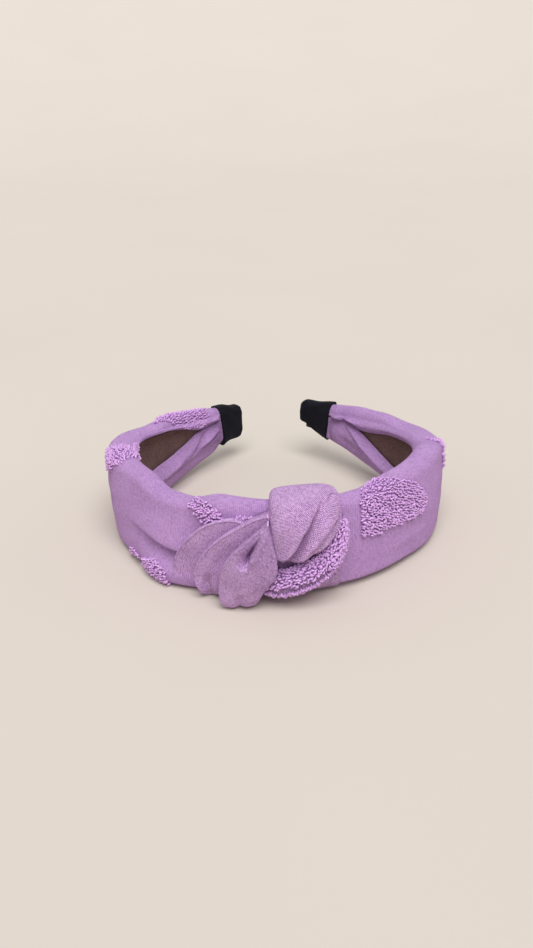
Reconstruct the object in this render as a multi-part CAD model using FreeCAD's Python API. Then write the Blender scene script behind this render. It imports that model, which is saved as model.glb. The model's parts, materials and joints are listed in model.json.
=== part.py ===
"""Knotted fabric headband on a sprung plastic hoop, lying on its lower edge as on a shelf.

Everything is modelled in the hoop's own frame first: s runs along the hoop from the crown (right arm
positive), n points out of the head, z is across the band. The finished pieces are then moved, without
turning, so that the table is at Z = 0 under the middle of their box. Millimetres throughout.
"""

import FreeCAD
import Part

import math
import os

from FreeCAD import Vector

# ---- driving dimensions -------------------------------------------------------------------------

# Plan line of the hoop, one half of it: tangent arcs from the crown to the tip, (radius, length).
PLAN_ARCS = ((70.0, 94.0), (38.0, 30.0), (170.0, 71.0))
LEFT_LAST_RADIUS = 300.0  # the left arm is a little straighter than the right towards its tip

# Half height of the padded band, across it, at distances from the crown.
# It is level from 50 to 90, so that the band stands steadily on that stretch of its lower edge.
HALF_HEIGHT = (
    (0, 20.5),
    (30, 22.3),
    (50, 22.5),
    (70, 22.5),
    (90, 22.5),
    (104, 22.0),
    (136, 17.6),
    (172, 10.6),
    (195, 8.4),
)
# Half thickness of the padded band.
HALF_THICK = ((0, 4.8), (118, 4.8), (168, 3.5), (182, 3.0), (195, 3.0))
# Half width of the slot between the two hems on the head side, where the lining shows.
SLOT_HALF = ((0, 3.0), (34, 4.5), (84, 9.0), (118, 8.5), (160, 1.0), (195, 1.0))
# Half width of the plastic hoop.
HOOP_HALF = ((0, 13.0), (90, 12.5), (150, 8.0), (180, 5.4), (195, 4.6))

COVER_WALL = 1.4  # jersey and its backing
PAD_CLEAR = 0.35  # between the cover and the pad
HOOP_OUT, HOOP_IN = 0.4, -1.1  # faces of the hoop, as n
LINING_OUT, LINING_IN = -1.4, -2.0
CHANNEL_CLEAR = 0.25  # between the pad's channel and the hoop in it
FLEX_GAP = 0.3  # between neighbouring lengths where the band bends
CROWN_CROWNING = 0.7  # how far the outer face bulges past its edges

FLEX_AT = 60.0  # distance from the crown to each arm's bending line
PIVOT_CLEAR = 0.8  # that line lies this far outside the band's edges, clear of its bulged face
COVER_END = 190.0
HOOP_END = 192.5
PAD_END = 168.0
LINING_END = 165.0

SLEEVE_START = 177.0
SLEEVE_END = 197.0
SLEEVE_WALL = 0.8
SLEEVE_CLEAR = 0.15

# The knot: a wrap that loops the crown, three pleats that fan from it, and a turn of cloth under it.
SEAM_AT = 1.0  # the two halves of the cover meet here, under the wrap
WRAP_CLEAR = 0.25
WRAP_TOP, WRAP_BOTTOM = 25.5, -21.6  # its reach across the band
WRAP_BACK = -7.2  # its flat pass on the head side, as n
WRAP_FRONT = 17.0

STATION_STEP = 6.0


# ---- the hoop's own coordinates -----------------------------------------------------------------


def profile(table, s):
    """A size at distance s from the crown, on a smooth curve through the table's points."""
    d = min(max(abs(s), table[0][0]), table[-1][0])
    last = len(table) - 2
    i = next((k for k in range(last + 1) if d <= table[k + 1][0]), last)

    def slope(k):
        (d0, v0), (d1, v1) = table[max(k - 1, 0)], table[min(k + 1, len(table) - 1)]
        return (v1 - v0) / (d1 - d0)

    (d0, v0), (d1, v1) = table[i], table[i + 1]
    width, t = d1 - d0, (d - d0) / (d1 - d0)
    ends = v0 * (1 + 2 * t) * (1 - t) ** 2 + v1 * (3 - 2 * t) * t * t
    return ends + width * t * (1 - t) * (slope(i) * (1 - t) - slope(i + 1) * t)


def plan(s):
    """X, Y and heading of the plan line at s."""
    x = y = heading = 0.0
    left = abs(s)
    last = len(PLAN_ARCS) - 1
    for i, (radius, length) in enumerate(PLAN_ARCS):
        if i == last and s < 0:
            radius = LEFT_LAST_RADIUS
        run = left if i == last else min(left, length)
        turn = run / radius
        x += radius * (math.sin(heading + turn) - math.sin(heading))
        y += radius * (math.cos(heading) - math.cos(heading + turn))
        heading += turn
        left -= run
        if left <= 1e-9:
            break
    return math.copysign(x, s), y, math.copysign(heading, s)


def place(s, n, z):
    x, y, heading = plan(s)
    return Vector(x + n * math.sin(heading), y - n * math.cos(heading), z)


def stations(start, end):
    """Both ends and every whole step between them, so that neighbouring layers share their stations."""
    low, high = min(start, end), max(start, end)
    first, last = math.ceil((low + 1) / STATION_STEP), math.floor((high - 1) / STATION_STEP)
    inside = [STATION_STEP * k for k in range(first, last + 1)]
    row = [low] + inside + [high]
    return row if start < end else row[::-1]


# ---- sections, as closed wires in the plane across the band at s --------------------------------


def line(s, a, b):
    return Part.makeLine(place(s, *a), place(s, *b))


def arc(s, a, mid, b):
    return Part.Arc(place(s, *a), place(s, *mid), place(s, *b)).toShape()


def box_section(s, n_in, n_out, half):
    corners = [(n_in, -half), (n_out, -half), (n_out, half), (n_in, half)]
    return Part.Wire([line(s, a, b) for a, b in zip(corners, corners[1:] + corners[:1])])


def round_section(s, half_thick, half_height, bulge):
    """A flat oval: two half-round edges, a straight head side and a bulged outer side."""
    t, h = half_thick, half_height
    flat = h - t
    return Part.Wire(
        [
            line(s, (-t, -flat), (-t, flat)),
            arc(s, (-t, flat), (0, h), (t, flat)),
            arc(s, (t, flat), (t + bulge, 0), (t, -flat)),
            arc(s, (t, -flat), (0, -h), (-t, -flat)),
        ]
    )


def cover_section(s):
    """The cover: cloth round both edges of the band, its hems apart on the head side."""
    t, h = profile(HALF_THICK, s), profile(HALF_HEIGHT, s)
    slot = profile(SLOT_HALF, s)
    flat = h - t
    slot = min(slot, flat - 0.8)
    ti, hi = t - COVER_WALL, h - COVER_WALL
    b = CROWN_CROWNING
    return Part.Wire(
        [
            line(s, (-t, slot), (-t, flat)),
            arc(s, (-t, flat), (0, h), (t, flat)),
            arc(s, (t, flat), (t + b, 0), (t, -flat)),
            arc(s, (t, -flat), (0, -h), (-t, -flat)),
            line(s, (-t, -flat), (-t, -slot)),
            line(s, (-t, -slot), (-ti, -slot)),
            line(s, (-ti, -slot), (-ti, -flat)),
            arc(s, (-ti, -flat), (0, -hi), (ti, -flat)),
            arc(s, (ti, -flat), (ti + b, 0), (ti, flat)),
            arc(s, (ti, flat), (0, hi), (-ti, flat)),
            line(s, (-ti, flat), (-ti, slot)),
            line(s, (-ti, slot), (-t, slot)),
        ]
    )


def pad_section(s):
    """The foam pad: fills the cover, with a channel on the head side for the hoop and lining."""
    t = profile(HALF_THICK, s) - COVER_WALL - PAD_CLEAR
    h = profile(HALF_HEIGHT, s) - COVER_WALL - PAD_CLEAR
    flat = h - t
    channel = min(profile(HOOP_HALF, s) + CHANNEL_CLEAR, flat - 0.3)
    floor = HOOP_OUT + CHANNEL_CLEAR
    return Part.Wire(
        [
            line(s, (-t, channel), (-t, flat)),
            arc(s, (-t, flat), (0, h), (t, flat)),
            arc(s, (t, flat), (t + CROWN_CROWNING, 0), (t, -flat)),
            arc(s, (t, -flat), (0, -h), (-t, -flat)),
            line(s, (-t, -flat), (-t, -channel)),
            line(s, (-t, -channel), (floor, -channel)),
            line(s, (floor, -channel), (floor, channel)),
            line(s, (floor, channel), (-t, channel)),
        ]
    )


def hoop_section(s):
    return box_section(s, HOOP_IN, HOOP_OUT, profile(HOOP_HALF, s))


def lining_section(s):
    return box_section(s, LINING_IN, LINING_OUT, profile(HOOP_HALF, s) - 0.1)


def loft(section, start, end):
    return Part.makeLoft([section(s) for s in stations(start, end)], True, False)


# ---- the band: a crown length and two arms of each layer ------------------------------------------


def band_layers():
    near = FLEX_AT - FLEX_GAP / 2
    far = FLEX_AT + FLEX_GAP / 2
    made = {}
    for layer, section, end in (
        ("hoop", hoop_section, HOOP_END),
        ("foam_pad", pad_section, PAD_END),
        ("lining", lining_section, LINING_END),
    ):
        made[f"{layer}_crown"] = loft(section, -near, near)
        made[f"{layer}_arm_left"] = loft(section, -far, -end)
        made[f"{layer}_arm_right"] = loft(section, far, end)
    seam = FLEX_GAP / 2
    made["cover_front_left"] = loft(cover_section, -near, SEAM_AT - seam)
    made["cover_front_right"] = loft(cover_section, SEAM_AT + seam, near)
    made["cover_arm_left"] = loft(cover_section, -far, -COVER_END)
    made["cover_arm_right"] = loft(cover_section, far, COVER_END)
    return made


def end_sleeve(side):
    """A closed sock of ribbon over the end of the hoop and the gathered end of the cover."""

    def outer(s):
        room = SLEEVE_CLEAR + SLEEVE_WALL
        t, h = profile(HALF_THICK, s) + room, profile(HALF_HEIGHT, s) + room
        past = max(0.0, abs(s) - (SLEEVE_END - 5.0)) / 5.0
        shrink = math.sqrt(max(0.0, 1 - 0.8 * past * past))
        return round_section(s, t * shrink, h * (0.45 + 0.55 * shrink), CROWN_CROWNING * shrink)

    def inner(s):
        t = profile(HALF_THICK, s) + SLEEVE_CLEAR
        return round_section(s, t, profile(HALF_HEIGHT, s) + SLEEVE_CLEAR, CROWN_CROWNING)

    outside = (SLEEVE_START, 181, 186, 190, 192.5, 194.5, 196, SLEEVE_END)
    inside = (SLEEVE_START - 1, 181, 186, HOOP_END + 0.4)
    body = Part.makeLoft([outer(side * s) for s in outside], True, False)
    pocket = Part.makeLoft([inner(side * s) for s in inside], True, False)
    return body.cut(pocket)


# ---- the knot ---------------------------------------------------------------------------------------


def envelope(grow, start=-FLEX_AT + 4, end=FLEX_AT - 4):
    """The band's full outside, grown, for cutting room out of what lies on it."""

    def section(s):
        t, h = profile(HALF_THICK, s) + grow, profile(HALF_HEIGHT, s) + grow
        return round_section(s, t, h, CROWN_CROWNING)

    return Part.makeLoft([section(s) for s in stations(start, end)], True, False)


def closed_spline(points):
    curve = Part.BSplineCurve()
    curve.interpolate(Points=points, PeriodicFlag=True)
    return Part.Wire([curve.toShape()])


def wrap_section(s, front, foot, top, low):
    """One slice of the wrap, all round the band.

    It is fat in front from top down to foot, thin below that, and flat on the head side.
    """
    back, bottom = WRAP_BACK, WRAP_BOTTOM
    mid = (top + bottom) / 2
    outline = [
        (back, mid),
        (back + 0.4, top - 8),
        (-2.5, top - 1.6),
        (3.0, top),
        (front * 0.70, top - 3.0),
        (front * 0.97, top - 10),
        (front, (top + foot) / 2 - 3),
        (front * 0.88, foot),
        (low, foot - 5),
        (low, bottom + 8),
        (1.5, bottom),
        (-4.0, bottom + 0.8),
        (back + 0.4, bottom + 8),
    ]
    return closed_spline([place(s, n, z) for n, z in outline])


def knot_wrap(band):
    slices = (
        # s, front, foot, top, low
        (1.5, 13.0, 4.0, WRAP_TOP - 2.0, 8.5),
        (6.0, 16.0, 2.0, WRAP_TOP - 0.3, 8.5),
        (12.5, WRAP_FRONT, 5.0, WRAP_TOP, 8.0),
        (19.0, 15.0, 9.0, WRAP_TOP - 0.5, 7.5),
        (24.5, 10.5, 10.0, WRAP_TOP - 2.5, 7.0),
    )
    body = Part.makeLoft([wrap_section(*v) for v in slices], True, False)
    return body.cut(band)


def lobe(path, base=4.0):
    """A fold of cloth as a tube of ellipses along path, whose points are (s, z, n, across, out)."""
    wires = []
    for i, (s, z, n, across, out) in enumerate(path):
        before, after = path[max(i - 1, 0)], path[min(i + 1, len(path) - 1)]
        ahead = (place(after[0], after[2], after[1]) - place(before[0], before[2], before[1])).normalize()
        centre = place(s, n, z)
        outward = (place(s, n + base, z) - centre).normalize()
        side = ahead.cross(outward).normalize()
        up = side.cross(ahead).normalize()
        if across >= out:
            ring = Part.Ellipse(centre + side * across, centre + up * out, centre)
        else:
            ring = Part.Ellipse(centre + up * out, centre + side * across, centre)
        wires.append(Part.Wire([ring.toShape()]))
    return Part.makeLoft(wires, True, False)


# Centre lines of the three pleats from the knot's eye, round and down to the band's lower edge.
# Each point: s, z, n, half width across the fold, half height of the fold.
PLEATS = {
    "knot_pleat_rear": (
        (-5.5, 17.0, 7.0, 2.6, 3.0),
        (-14, 17.4, 7.2, 4.0, 3.4),
        (-24, 11.5, 7.2, 5.6, 3.6),
        (-31, 1.0, 7.0, 6.6, 3.6),
        (-33.5, -10.0, 6.4, 6.2, 3.6),
        (-33.0, -18.6, 3.6, 5.0, 3.2),
    ),
    "knot_pleat_middle": (
        (-3.0, 17.0, 9.0, 2.6, 3.4),
        (-9, 14.0, 9.8, 4.4, 4.4),
        (-16.5, 7.0, 10.0, 5.8, 4.8),
        (-21.5, -2.5, 9.4, 6.0, 4.8),
        (-23.0, -12.0, 8.0, 5.6, 4.6),
        (-22.5, -18.8, 3.4, 4.6, 3.2),
    ),
    "knot_pleat_front": (
        (-1.0, 15.5, 12.0, 2.2, 3.0),
        (-3.6, 10.5, 12.6, 4.6, 5.0),
        (-7.0, 3.0, 12.4, 7.6, 6.0),
        (-9.0, -6.0, 11.4, 8.4, 6.0),
        (-9.6, -14.0, 9.0, 7.0, 5.4),
        (-9.6, -18.8, 3.6, 5.0, 3.2),
    ),
}
TERRY_TURN = (
    (24.0, 12.0, 9.5, 2.4, 3.0),
    (24.2, 4.0, 10.4, 4.4, 4.6),
    (21.5, -4.0, 11.0, 6.6, 5.6),
    (15.5, -10.0, 11.2, 8.0, 5.8),
    (8.0, -13.0, 10.6, 7.6, 5.4),
    (1.0, -14.5, 9.2, 5.6, 4.2),
)
TACKS = ((6.0, -10.0), (12.5, -10.0), (19.0, -10.0))  # s and z of the stitches that hold the wrap behind
TACK_RADIUS, TACK_HALF = 0.35, 2.4


def knot(band):
    """The wrap, then each fold with what lies over it cut away, so that they meet without overlapping."""
    made = {"knot_wrap": knot_wrap(band)}
    blocking = [band, made["knot_wrap"]]
    for name in ("knot_pleat_front", "knot_pleat_middle", "knot_pleat_rear"):
        fold = lobe(PLEATS[name]).cut(blocking)
        made[name] = biggest(fold)
        blocking.append(made[name])
    made["knot_terry_turn"] = biggest(lobe(TERRY_TURN).cut(blocking))
    return made


def biggest(shape):
    """The largest solid of a cut, without its crumbs."""
    return max(shape.Solids, key=lambda solid: solid.Volume)


def tacking_stitches():
    """Short bars of thread across the wrap's head side."""
    bars = []
    for s, z in TACKS:
        n = WRAP_BACK - TACK_RADIUS - 0.1
        foot = place(s, n, z - TACK_HALF)
        bar = Part.makeCylinder(TACK_RADIUS, 2 * TACK_HALF, foot, Vector(0, 0, 1))
        bars.append(bar)
    return Part.makeCompound(bars)


# ---- resting place and files --------------------------------------------------------------------------


def rest_on_table(shapes):
    """Moves everything so that the box of the whole stands on the table, centred on the origin."""
    box = Part.makeCompound(list(shapes.values())).optimalBoundingBox(False)
    shift = Vector(-(box.XMin + box.XMax) / 2, -(box.YMin + box.YMax) / 2, -box.ZMin)
    for shape in shapes.values():
        shape.translate(shift)
    print(f"box {box.XLength:.2f} x {box.YLength:.2f} x {box.ZLength:.2f}")
    print(f"shift {shift.x:.3f} {shift.y:.3f} {shift.z:.3f}")
    for side in (-1, 1):
        at = place(side * FLEX_AT, profile(HALF_THICK, FLEX_AT) + PIVOT_CLEAR, 0) + shift
        tip = place(side * SLEEVE_END, 0, 0) + shift
        print(f"side {side} bends about {at.x:.3f} {at.y:.3f} {at.z:.3f} tip {tip.x:.3f} {tip.y:.3f}")
    reach = max(place(s, -profile(HALF_THICK, s), 0).x for s in range(60, 130))
    print(f"inside width {2 * reach:.2f}")


def main():
    os.makedirs("parts", exist_ok=True)
    for old in os.listdir("parts"):
        os.remove(os.path.join("parts", old))
    shapes = band_layers()
    shapes["end_sleeve_left"] = end_sleeve(-1)
    shapes["end_sleeve_right"] = end_sleeve(1)
    shapes.update(knot(envelope(WRAP_CLEAR)))
    shapes["tacking_stitches"] = tacking_stitches()
    rest_on_table(shapes)
    for name, shape in shapes.items():
        print(name, "valid", shape.isValid(), "solids", len(shape.Solids), "volume", round(shape.Volume, 1))
        shape.exportStep(f"parts/{name}.step")


main()
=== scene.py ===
import json
import math
import random

import bmesh
import bpy
import numpy as np
from mathutils import Matrix, Vector


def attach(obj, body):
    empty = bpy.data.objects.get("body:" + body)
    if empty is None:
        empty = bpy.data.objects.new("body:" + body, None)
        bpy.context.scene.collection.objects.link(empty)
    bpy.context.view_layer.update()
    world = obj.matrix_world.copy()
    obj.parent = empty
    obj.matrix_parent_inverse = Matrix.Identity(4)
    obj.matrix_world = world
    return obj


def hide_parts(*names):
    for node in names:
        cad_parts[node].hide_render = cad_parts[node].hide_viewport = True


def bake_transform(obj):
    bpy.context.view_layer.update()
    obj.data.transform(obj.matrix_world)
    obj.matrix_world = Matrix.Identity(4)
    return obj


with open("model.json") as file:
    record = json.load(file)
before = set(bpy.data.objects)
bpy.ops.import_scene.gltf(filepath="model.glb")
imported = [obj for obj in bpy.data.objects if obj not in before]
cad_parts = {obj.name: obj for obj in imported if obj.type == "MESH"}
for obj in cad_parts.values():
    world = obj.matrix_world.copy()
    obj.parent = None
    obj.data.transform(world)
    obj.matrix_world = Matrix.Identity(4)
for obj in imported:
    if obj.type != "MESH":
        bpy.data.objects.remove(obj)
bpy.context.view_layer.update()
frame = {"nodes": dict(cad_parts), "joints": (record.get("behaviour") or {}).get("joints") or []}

# ---- driving dimensions, in millimetres along (s), out of (n) and across (z) the hoop

MM = 0.001
SIDES = {-1: "left", 1: "right"}
REST_HEIGHT = 0.00015
PLAN_ARCS = ((70.0, 94.0), (38.0, 30.0), (170.0, 71.0))
LEFT_LAST_RADIUS = 300.0
HALF_HEIGHT = ((0, 20.5), (30, 22.3), (50, 22.5), (70, 22.5), (90, 22.5), (104, 22.0), (136, 17.6),
               (172, 10.6), (195, 8.4))
HALF_THICK = ((0, 4.8), (118, 4.8), (168, 3.5), (182, 3.0), (195, 3.0))
HOOP_HALF = ((0, 13.0), (90, 12.5), (150, 8.0), (180, 5.4), (195, 4.6))
FLEX_AT = 60.0
PIVOT_OUT = 5.6  # the hinge line lies this far out of the plan line
BLEND_FROM, BLEND_TO = 45.0, 75.0  # the cloth bends over this stretch

COVER_END, COVER_STEP = 183.0, 1.25
COVER_START = {-1: 0.85, 1: 1.15}  # where the two halves meet, hidden by the knot
CLOTH = 0.63  # thickness of the cover as shown
BULGE, BULGE_POWER = 0.9, 0.6  # how far the outer face stands out past the edges, and how fast folds set in
INWARD_LIMIT = 2.0  # deeper folds would press on the hoop
RIPPLE = 0.18  # height of the cloth's faint unevenness

LINING_START, LINING_END, LINING_STEP = 0.2, 165.0, 2.0
LINING_ACROSS = 40  # steps across it
LINING_OVER_PAD, LINING_EASE = 0.15, 0.6  # it clears the pad, and eases up to it over this half width
LINING_BACK, LINING_THICK = -2.15, 0.3
LINING_UNDER_HEM, LINING_INSET = 2.0, 4.8  # it runs under the hems, but stays this far inside the edges
PAD_START, PAD_END, PAD_STEP = 0.15, 168.0, 2.0
PAD_INSET = 1.75  # the pad's depth under the band's face on the head side
PAD_UNDER = 1.1  # and everywhere else
PAD_CHANNEL = 0.65  # floor of the channel that holds the hoop

SLEEVE_START = 177.0
SLEEVE_TIP = {-1: 193.0, 1: 196.4}
SLEEVE_SLANT = 1.4  # the mouth reaches this much further along its upper edge
SLEEVE_LIP = 0.12
# How far the upper and the lower edges rise, at the mouth and at the tip.
SLEEVE_TOP = {-1: (0.0, -2.2), 1: (1.6, 0.6)}
SLEEVE_FOOT = {-1: (-1.6, -1.4), 1: (1.3, 7.8)}
SQUEEZE = 0.35  # inside the sleeve, the cover is this much slimmer

# Where the band differs from its plain section: an amount in mm, then the distances from the crown where it
# sets in, is full, starts to fade and has gone. Where it is full at the crown, the first two are below 0.
FRONT_TRIM = {-1: (4.6, 20, 36, 47, 62), 1: (2.6, -2, -1, 36, 52)}  # the upper edge is lower, in front
SHOULDER_TRIM = {-1: (3.2, 84, 100, 124, 144), 1: (4.2, 84, 104, 122, 146)}  # and past the shoulders
RIGHT_END_RISE = (1.6, 146, 160, 200, 201)  # but higher near the right sleeve
TRIM_SHARE = 0.65  # this share of the front trim is a lower start of the edge, and the rest a flatter curve
LEFT_HANG = (4.2, 116, 134, 169, 181)  # the lower hem hangs on the left arm
RIGHT_LIFT = (1.9, -2, -1, 50, 88)  # the knot lifts the lower edge on the right
RIGHT_END_LIFT = (1.3, 152, 172, 200, 201)
SHOULDER_FULL = {-1: (2.0, 60, 84, 112, 130), 1: (2.0, 56, 80, 90, 114)}  # the outer face is fuller
LEFT_FOOT, LEFT_FOOT_AT, LEFT_FOOT_REACH = 4.6, 45, 16  # and so is the left lower edge beside the knot
LEFT_FOOT_DEPTHS = (5, 18)  # from none to full, below the middle

# Edges of the two hems on the head side: (s, z of the upper hem, z of the lower hem).
HEMS = {
    -1: ((0, 4, -4), (60, 9, -8), (95, 14, -9), (110, 15, -8), (123, 13.5, -5), (138, 10.8, -3.2),
         (150, 7.2, -0.5), (160, 3.4, 2.4), (183, 3.2, 2.8)),
    1: ((0, 4, -4), (60, 8, -8), (95, 9.5, -10), (108, 10.3, -10.5), (122, 9.5, -9), (133, 8.3, -6),
        (145, 5.4, -1.2), (155, 4.2, 3.5), (162, 6.6, 6.1), (170, 7.0, 6.5), (183, 3.8, 3.4)),
}

# Folds of the cloth as raised (+) or sunk (-) lines: height, reach to the left and right of the line as it
# runs, then its points (distance from the crown, place across, share of the height there). All in mm.
OUTER_FOLDS = {
    -1: (
        (2.6, 8.5, 0.8, ((34, -4.2, 1.0), (44, -3.7, 1.0), (50.5, -2.7, 0.8), (60, -1.8, 0.35),
                         (70, -1, 0.0))),
        (-2.0, 1.8, 4.2, ((34, -6.8, 1.0), (46, -6.4, 1.0), (54, -5.4, 0.8), (66, -4, 0.0))),
        (1.2, 4.5, 4.0, ((34, -14.5, 1.0), (46, -15, 1.0), (58, -15, 0.7), (72, -14, 0.0))),
        (-0.8, 3.0, 3.4, ((2, 14.5, 1.0), (14, 14.5, 1.0), (24, 16, 0.5), (30, 18, 0.0))),
        (0.5, 2.4, 2.4, ((100, 8, 0.0), (84, 4, 1.0), (66, 9, 0.0))),
        (-0.6, 1.6, 2.2, ((175, 1, 1.0), (160, 3, 0.8), (146, 2, 0.0))),
    ),
    1: (
        (-0.7, 1.8, 2.6, ((25, 19, 1.0), (31, 14, 0.6), (38, 9, 0.0))),
        (0.5, 3.0, 3.0, ((40, -12, 0.0), (60, -9, 1.0), (84, -8, 0.0))),
        (-0.6, 1.6, 2.2, ((175, -1, 1.0), (160, -3, 0.8), (146, -2, 0.0))),
    ),
}
INNER_FOLDS = {
    -1: (
        (-2.2, 0.9, 1.5, ((176, 3.6, 0.6), (168, 3.4, 1.0), (161, -1, 1.0), (156, -6, 0.9),
                          (150, -9, 0.0))),
        (1.7, 1.6, 1.6, ((176, 0.6, 0.3), (170, 0.0, 1.0), (163, -3.6, 1.0), (157, -9, 0.0))),
        (-1.9, 0.9, 1.3, ((176, -2.4, 0.6), (167, -4.4, 1.0), (160, -6.8, 0.8), (155, -10, 0.0))),
        (1.2, 1.8, 1.8, ((147, -5, 0.0), (141, -8, 1.0), (132, -11, 0.7), (122, -13, 0.0))),
        (0.9, 2.2, 2.2, ((176, 6.0, 0.3), (166, 7.6, 1.0), (152, 11.5, 0.8), (138, 14, 0.0))),
    ),
    1: (
        (2.3, 1.0, 2.8, ((174, 9.5, 0.3), (167, 7.6, 0.9), (160, 3.6, 1.0), (150, -2.8, 1.0),
                         (136, -9.2, 0.4), (128, -12, 0))),
        (-1.8, 0.8, 1.0, ((172, 9.0, 0.4), (164, 7.8, 1.0), (156, 4.2, 0.7), (150, 3.8, 0.0))),
        (-1.2, 2.4, 2.4, ((168, -3.0, 0.4), (158, -6.5, 1.0), (148, -11, 0.0))),
    ),
}


def rest_curve(table, s):
    """A value at s on a smooth curve through the table's points."""
    d = min(max(abs(s), table[0][0]), table[-1][0])
    last = len(table) - 2
    i = next((k for k in range(last + 1) if d <= table[k + 1][0]), last)

    def slope(k):
        (d0, v0), (d1, v1) = table[max(k - 1, 0)], table[min(k + 1, len(table) - 1)]
        return (v1 - v0) / (d1 - d0)

    (d0, v0), (d1, v1) = table[i], table[i + 1]
    width, t = d1 - d0, (d - d0) / (d1 - d0)
    ends = v0 * (1 + 2 * t) * (1 - t) ** 2 + v1 * (3 - 2 * t) * t * t
    return ends + width * t * (1 - t) * (slope(i) * (1 - t) - slope(i + 1) * t)


def plan(s):
    """X, Y and heading of the hoop's line at s."""
    x = y = heading = 0.0
    left = abs(s)
    last = len(PLAN_ARCS) - 1
    for i, (radius, length) in enumerate(PLAN_ARCS):
        if i == last and s < 0:
            radius = LEFT_LAST_RADIUS
        run = left if i == last else min(left, length)
        turn = run / radius
        x += radius * (math.sin(heading + turn) - math.sin(heading))
        y += radius * (math.cos(heading) - math.cos(heading + turn))
        heading += turn
        left -= run
        if left <= 1e-9:
            break
    return math.copysign(x, s), y, math.copysign(heading, s)


# The joints say where the hoop's own frame lies in the model's frame.
pivot = next(Vector(j["pos_m"]) for j in frame["joints"] if j["name"] == "arm_right_flex")
px, py, ph = plan(FLEX_AT)
SHIFT = pivot - Vector((px + PIVOT_OUT * math.sin(ph), py - PIVOT_OUT * math.cos(ph), 0)) * MM


def place(s, n, z):
    x, y, heading = plan(s)
    return Vector((x + n * math.sin(heading), y - n * math.cos(heading), z)) * MM + SHIFT


def smooth(a, b, v):
    t = min(1.0, max(0.0, (v - a) / (b - a)))
    return t * t * (3 - 2 * t)


def stretch(s, amount, start, full, fade, end):
    """The amount over one stretch of the band, easing in and out."""
    return amount * smooth(start, full, s) * (1 - smooth(fade, end, s))


def bump(v, centre, width):
    return math.exp(-((v - centre) / width) ** 2)


def relief(folds, s, z):
    """Height of the folds at (s, z), in mm."""
    total = 0.0
    for height, left, right, line in folds:
        best = None
        for (s0, z0, w0), (s1, z1, w1) in zip(line, line[1:]):
            ds, dz = s1 - s0, z1 - z0
            f = min(1.0, max(0.0, ((s - s0) * ds + (z - z0) * dz) / (ds * ds + dz * dz)))
            away = math.hypot(s - s0 - f * ds, z - z0 - f * dz)
            if best is None or away < best[0]:
                best = (away, w0 + (w1 - w0) * f, ds * (z - z0) - dz * (s - s0) > 0)
        away, share, is_left = best
        total += height * share * math.exp(-(away / (left if is_left else right)) ** 2)
    return total


def between(p, f):
    """A point at f, from 0 to 1, between the middle two of four points on a Catmull-Rom curve."""
    return 0.5 * (
        2 * p[1]
        + (p[2] - p[0]) * f
        + (2 * p[0] - 5 * p[1] + 4 * p[2] - p[3]) * f * f
        + (3 * p[1] - p[0] - 3 * p[2] + p[3]) * f ** 3
    )


def catmull(points, t):
    """A point at t, from 0 to 1, on a smooth curve through points of any dimension."""
    last = len(points) - 1
    u = min(max(t, 0.0), 1.0) * last
    i = min(int(u), last - 1)
    near = [np.array(points[min(max(k, 0), last)], float) for k in (i - 1, i, i + 1, i + 2)]
    return between(near, u - i)


# ---- camera and stage ----------------------------------------

CAMERA_DISTANCE = 0.420
CAMERA_HEADING, CAMERA_ABOVE, CAMERA_ROLL = -1.310, 26.286, -1.492  # degrees
CAMERA_LENS = 33.804
CAMERA_SHIFT = (-0.00969, -0.00273)
HOOP_MIDDLE = 67.55  # the camera turns about this point behind the crown
STAGE_FLAT, STAGE_RIM = 1.0, 3.0  # radii of the flat floor and of the curve round it, in metres
STAGE_SLOPE, STAGE_RINGS, STAGE_AROUND = 45, 12, 96  # the slope at the outside is in degrees
PAPER_GRAIN = 5
PAPER_DARK, PAPER_LIGHT = (0.600, 0.541, 0.482), (0.611, 0.551, 0.491)
SKY, SUN = 0.50, 2.75
SUN_FROM, SUN_SPREAD = (0.10, -0.50, 1.0), 44  # its spread in degrees
SKY_COLOUR = (0.97, 0.985, 1.0, 1)


def make_camera():
    target = Vector((0, HOOP_MIDDLE * MM, 0)) + SHIFT
    a, e = math.radians(CAMERA_HEADING), math.radians(CAMERA_ABOVE)
    ahead = Vector((math.sin(a) * math.cos(e), math.cos(a) * math.cos(e), -math.sin(e)))
    data = bpy.data.cameras.new("camera")
    data.sensor_width = 36
    data.lens = CAMERA_LENS
    data.shift_x, data.shift_y = CAMERA_SHIFT
    camera = bpy.data.objects.new("camera", data)
    bpy.context.scene.collection.objects.link(camera)
    camera.rotation_mode = "QUATERNION"
    turn = ahead.to_track_quat("-Z", "Y").to_matrix() @ Matrix.Rotation(math.radians(CAMERA_ROLL), 3, "Z")
    camera.rotation_quaternion = turn.to_quaternion()
    camera.location = target - ahead * CAMERA_DISTANCE
    bpy.context.scene.camera = camera


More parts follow.
